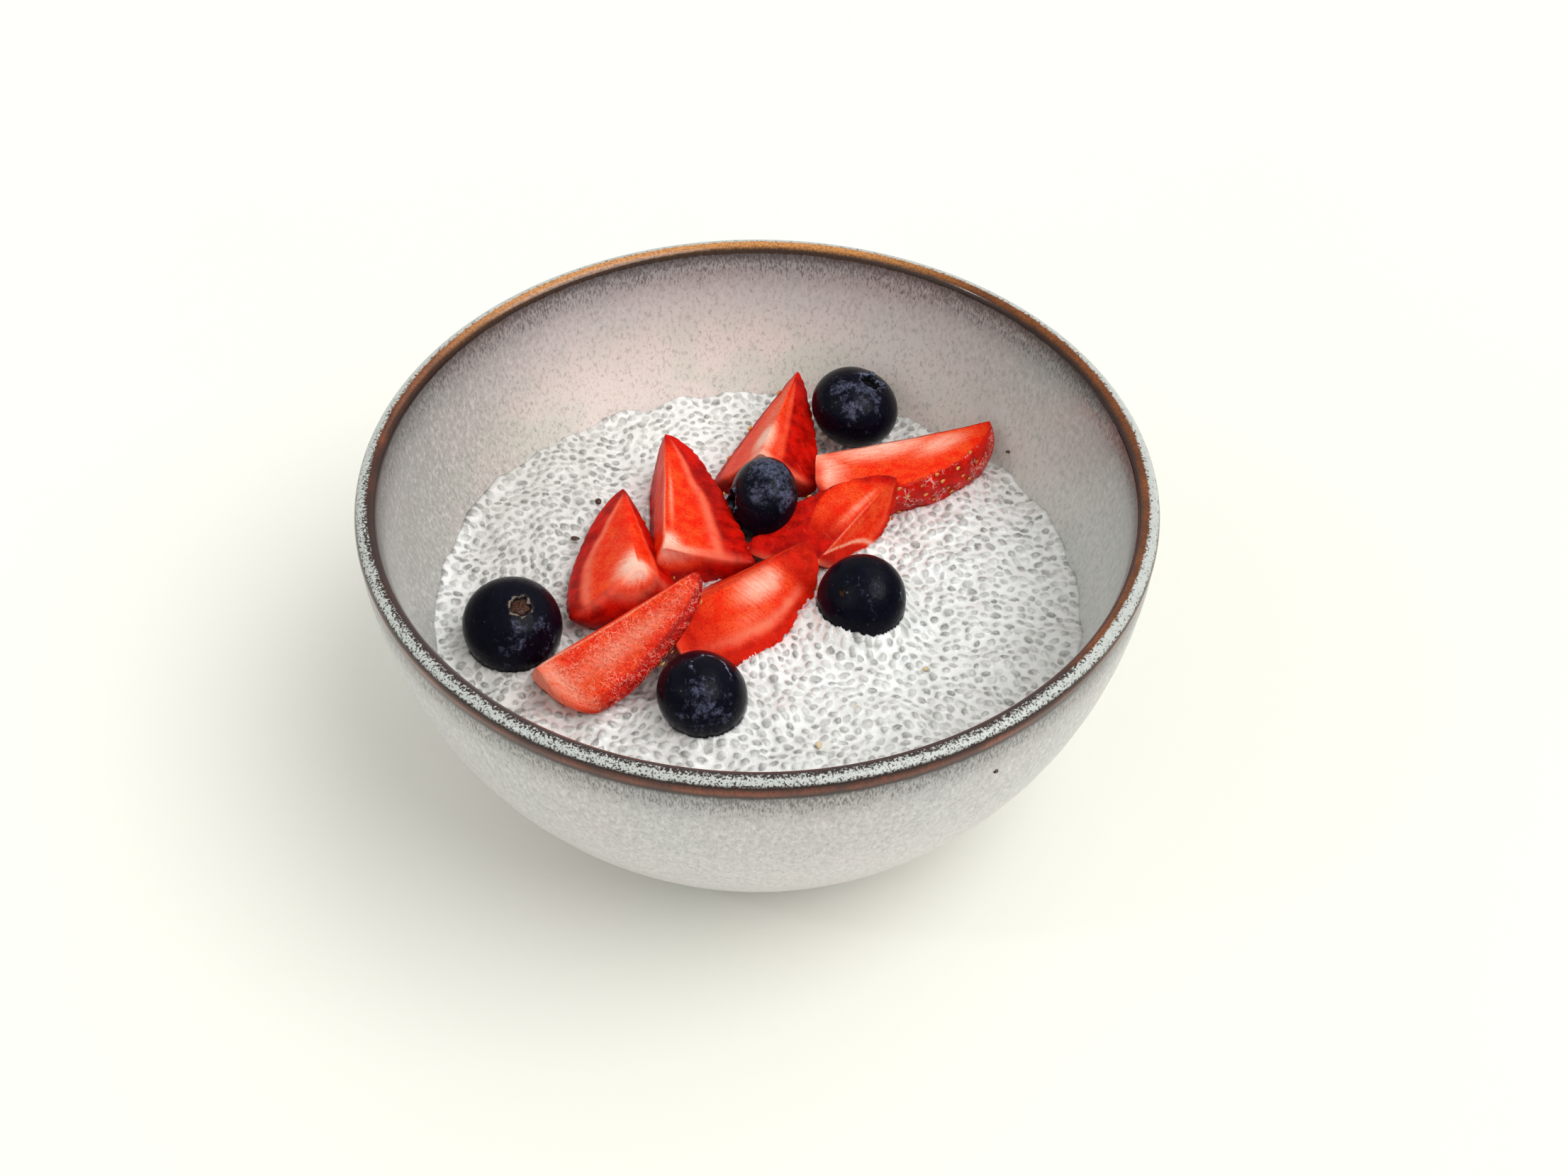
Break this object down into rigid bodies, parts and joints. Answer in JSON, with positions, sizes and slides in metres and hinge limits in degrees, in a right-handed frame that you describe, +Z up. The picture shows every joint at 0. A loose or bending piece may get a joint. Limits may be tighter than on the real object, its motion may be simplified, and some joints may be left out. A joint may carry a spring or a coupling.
{
  "type": "chia pudding bowl",
  "caption": "Chia seed pudding in a speckled stoneware bowl with a brown rim, topped with strawberry wedges and blueberries.",
  "frame": {"origin": "centre of the underside of the bowl's foot ring, on the table", "axes": "+Z up, -Y the side seen in front, +X to the right of that side"},
  "size_m": [0.15, 0.15, 0.072],
  "materials": {
    "glaze": "light grey-beige reactive glaze with fine dark specks, a brown line round the rim",
    "pudding": "wet milky pudding full of grey swollen seeds",
    "strawberry": "wet cut strawberry flesh, pale at the core and red towards the skin",
    "blueberry": "near-black blue skin with patches of pale bloom"
  },
  "bodies": {
    "root": {"bowl": "glaze", "pudding": "pudding", "strawberry_wedge_1": "strawberry", "strawberry_wedge_2": "strawberry", "strawberry_wedge_3": "strawberry", "strawberry_wedge_4": "strawberry", "strawberry_wedge_5": "strawberry", "strawberry_wedge_6": "strawberry", "strawberry_wedge_7": "strawberry", "blueberry_1": "blueberry", "blueberry_2": "blueberry", "blueberry_3": "blueberry", "blueberry_4": "blueberry", "blueberry_5": "blueberry"}
  },
  "joints": []
}
